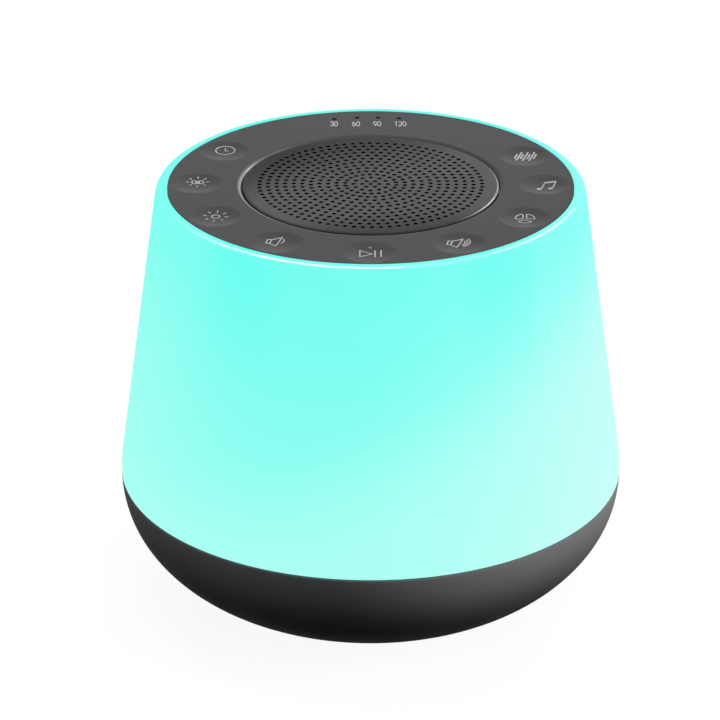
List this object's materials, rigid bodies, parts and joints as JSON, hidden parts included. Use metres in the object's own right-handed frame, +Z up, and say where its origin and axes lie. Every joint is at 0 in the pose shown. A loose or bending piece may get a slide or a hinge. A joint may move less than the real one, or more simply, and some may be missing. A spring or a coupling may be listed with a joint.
{
  "type": "white noise sound machine",
  "caption": "Round bedside sound machine: speaker grille and dished keys on top, a glowing tapered shade, and a dark rounded base.",
  "frame": {"origin": "centre of the foot ring's underside, on the surface it stands on", "axes": "+Z up along the axis of the body; -Y is the front with the play key; +Y is the back with the power socket; +X to the right seen from the front"},
  "size_m": [0.112, 0.112, 0.0969],
  "materials": {
    "bowl_plastic": "satin moulded, near black",
    "shade_plastic": "satin translucent white, lit from inside in blue-green",
    "panel_plastic": "soft satin dark grey",
    "grille_plastic": "satin dark grey",
    "foot_rubber": "matt",
    "screw_steel": "zinc plated",
    "board_green": "solder resist",
    "board_white": "white solder resist",
    "white_abs": "moulded white",
    "socket_steel": "nickel plated",
    "black_plastic": "moulded black",
    "can_aluminium": "sleeved can",
    "led_body": "white LED body",
    "ribbon_film": "white film",
    "paper": "pressed paper",
    "foam": "closed foam",
    "roll_rubber": "butyl rubber",
    "ferrite": "ferrite",
    "plated_steel": "plated",
    "cloth": "woven",
    "coil_copper": "enamelled copper wire",
    "spider_cloth": "resin cloth",
    "clear_plastic": "light pipe"
  },
  "bodies": {
    "housing": {"base_shell": "bowl_plastic", "foot_ring": "foot_rubber", "base_screws": "screw_steel", "main_board": "board_green", "power_socket": "socket_steel", "power_tongue": "black_plastic", "capacitors": "can_aluminium", "board_chips": "black_plastic", "deck": "white_abs", "light_ring": "board_white", "leds": "led_body", "speaker_tub": "white_abs", "control_board": "board_green", "small_screws": "screw_steel", "ribbon_sockets": "white_abs", "ribbon_cable": "ribbon_film", "speaker_gasket": "foam", "speaker_basket": "plated_steel", "pole_plate": "plated_steel", "magnet": "ferrite", "yoke": "plated_steel", "surround": "roll_rubber", "spider": "spider_cloth", "grille": "grille_plastic", "dust_cloth": "cloth", "panel": "panel_plastic", "switches": "black_plastic", "timer_chips": "led_body", "timer_lights": "clear_plastic", "shade": "shade_plastic"},
    "cone": {"speaker_cone": "paper", "voice_coil": "coil_copper", "dust_cap": "paper"},
    "key_timer": {"key_timer": "panel_plastic", "plunger_timer": "black_plastic"},
    "key_colour": {"key_colour": "panel_plastic", "plunger_colour": "black_plastic"},
    "key_brightness": {"key_brightness": "panel_plastic", "plunger_brightness": "black_plastic"},
    "key_volume_down": {"key_volume_down": "panel_plastic", "plunger_volume_down": "black_plastic"},
    "key_play": {"key_play": "panel_plastic", "plunger_play": "black_plastic", "play_light": "clear_plastic"},
    "key_volume_up": {"key_volume_up": "panel_plastic", "plunger_volume_up": "black_plastic"},
    "key_fan": {"key_fan": "panel_plastic", "plunger_fan": "black_plastic"},
    "key_music": {"key_music": "panel_plastic", "plunger_music": "black_plastic"},
    "key_sounds": {"key_sounds": "panel_plastic", "plunger_sounds": "black_plastic"}
  },
  "joints": [
    {"name": "cone_slide", "type": "slide", "parent": "housing", "child": "cone", "axis": [0, 0, 1], "range_m": [-0.0008, 0.0008], "stiffness_N_per_m": 1500, "deforming": ["surround", "spider"]},
    {"name": "key_timer_press", "type": "slide", "parent": "housing", "child": "key_timer", "axis": [0, 0, -1], "range_m": [0, 0.0004], "stiffness_N_per_m": 3000, "springref_m": -0.00015},
    {"name": "key_colour_press", "type": "slide", "parent": "housing", "child": "key_colour", "axis": [0, 0, -1], "range_m": [0, 0.0004], "stiffness_N_per_m": 3000, "springref_m": -0.00015},
    {"name": "key_brightness_press", "type": "slide", "parent": "housing", "child": "key_brightness", "axis": [0, 0, -1], "range_m": [0, 0.0004], "stiffness_N_per_m": 3000, "springref_m": -0.00015},
    {"name": "key_volume_down_press", "type": "slide", "parent": "housing", "child": "key_volume_down", "axis": [0, 0, -1], "range_m": [0, 0.0004], "stiffness_N_per_m": 3000, "springref_m": -0.00015},
    {"name": "key_play_press", "type": "slide", "parent": "housing", "child": "key_play", "axis": [0, 0, -1], "range_m": [0, 0.0004], "stiffness_N_per_m": 3000, "springref_m": -0.00015},
    {"name": "key_volume_up_press", "type": "slide", "parent": "housing", "child": "key_volume_up", "axis": [0, 0, -1], "range_m": [0, 0.0004], "stiffness_N_per_m": 3000, "springref_m": -0.00015},
    {"name": "key_fan_press", "type": "slide", "parent": "housing", "child": "key_fan", "axis": [0, 0, -1], "range_m": [0, 0.0004], "stiffness_N_per_m": 3000, "springref_m": -0.00015},
    {"name": "key_music_press", "type": "slide", "parent": "housing", "child": "key_music", "axis": [0, 0, -1], "range_m": [0, 0.0004], "stiffness_N_per_m": 3000, "springref_m": -0.00015},
    {"name": "key_sounds_press", "type": "slide", "parent": "housing", "child": "key_sounds", "axis": [0, 0, -1], "range_m": [0, 0.0004], "stiffness_N_per_m": 3000, "springref_m": -0.00015}
  ]
}
